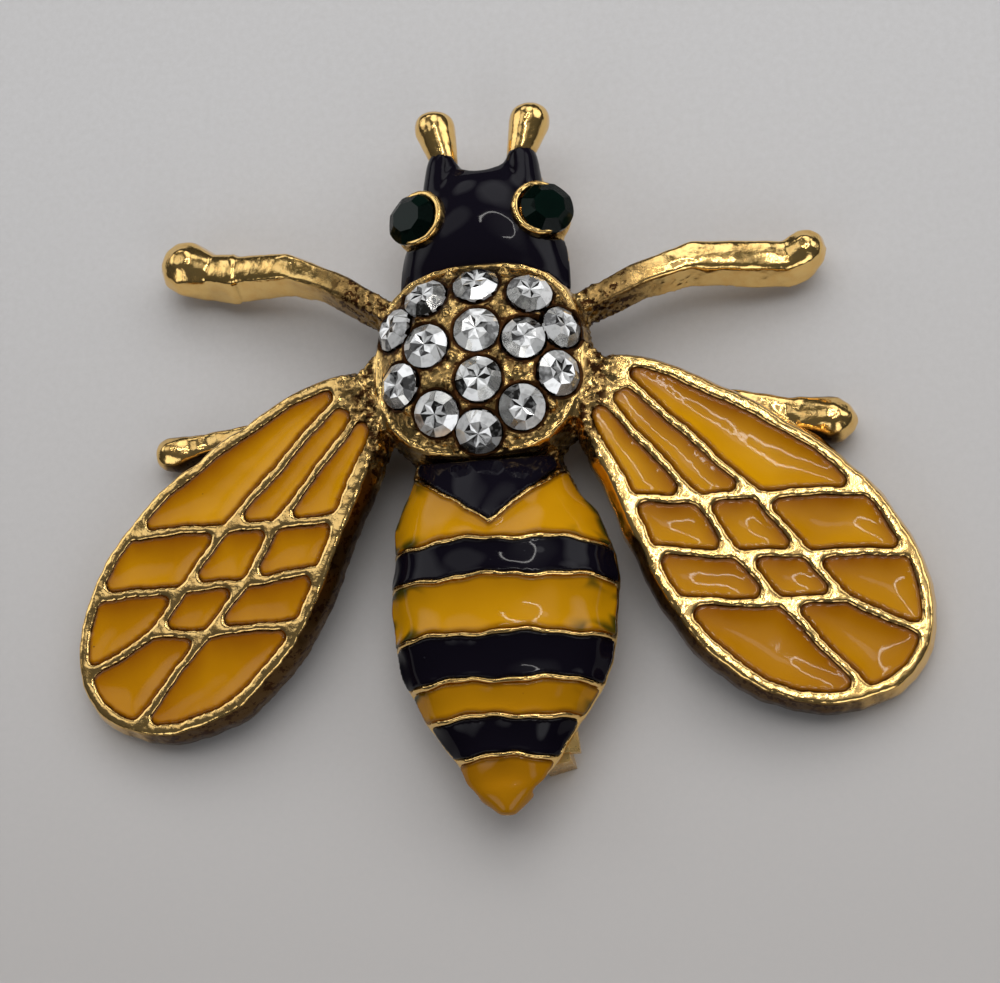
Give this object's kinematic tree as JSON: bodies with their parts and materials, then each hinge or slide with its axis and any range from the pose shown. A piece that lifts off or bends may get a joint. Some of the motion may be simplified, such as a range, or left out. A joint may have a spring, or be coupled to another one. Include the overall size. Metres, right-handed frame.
{
  "type": "insect brooch",
  "caption": "Bee brooch: a gilt casting with enamelled wings, head and striped abdomen, a thorax set with cut stones, bar legs, knobbed antennae and a pin fitting behind",
  "frame": {"origin": "middle of the brooch's outline, on the surface that it lies on", "axes": "+X across the wings, to the bee's side that is at the picture's right; +Y towards the head; +Z out of the decorated face"},
  "size_m": [0.0456, 0.0391, 0.0073],
  "materials": {
    "gold": "polished pale gold plating over a lumpy casting, browned in its corners",
    "pin_metal": "plain gold plating, slightly dull",
    "yellow_enamel": "mustard yellow enamel, glossy",
    "black_enamel": "black enamel with a violet cast, glossy",
    "clear_stone": "clear cut glass over a silver foil back",
    "dark_stone": "near-black green cut glass"
  },
  "bodies": {
    "root": {"casting": "gold", "pin_back": "pin_metal", "head_enamel": "black_enamel", "left_eye_stone": "dark_stone", "right_eye_stone": "dark_stone", "abdomen_enamel_1": "black_enamel", "abdomen_enamel_2": "yellow_enamel", "abdomen_enamel_3": "black_enamel", "abdomen_enamel_4": "yellow_enamel", "abdomen_enamel_5": "black_enamel", "abdomen_enamel_6": "yellow_enamel", "abdomen_enamel_7": "black_enamel", "abdomen_enamel_8": "yellow_enamel", "left_cell_1": "yellow_enamel", "left_cell_2": "yellow_enamel", "left_cell_3": "yellow_enamel", "left_cell_4": "yellow_enamel", "left_cell_5": "yellow_enamel", "left_cell_6": "yellow_enamel", "left_cell_7": "yellow_enamel", "left_cell_8": "yellow_enamel", "left_cell_9": "yellow_enamel", "left_cell_10": "yellow_enamel", "left_cell_11": "yellow_enamel", "right_cell_1": "yellow_enamel", "right_cell_2": "yellow_enamel", "right_cell_3": "yellow_enamel", "right_cell_4": "yellow_enamel", "right_cell_5": "yellow_enamel", "right_cell_6": "yellow_enamel", "right_cell_7": "yellow_enamel", "right_cell_8": "yellow_enamel", "right_cell_9": "yellow_enamel", "right_cell_10": "yellow_enamel", "right_cell_11": "yellow_enamel", "thorax_stone_1": "clear_stone", "thorax_stone_2": "clear_stone", "thorax_stone_3": "clear_stone", "thorax_stone_4": "clear_stone", "thorax_stone_5": "clear_stone", "thorax_stone_6": "clear_stone", "thorax_stone_7": "clear_stone", "thorax_stone_8": "clear_stone", "thorax_stone_9": "clear_stone", "thorax_stone_10": "clear_stone", "thorax_stone_11": "clear_stone", "thorax_stone_12": "clear_stone", "thorax_stone_13": "clear_stone", "thorax_stone_14": "clear_stone"}
  },
  "joints": []
}
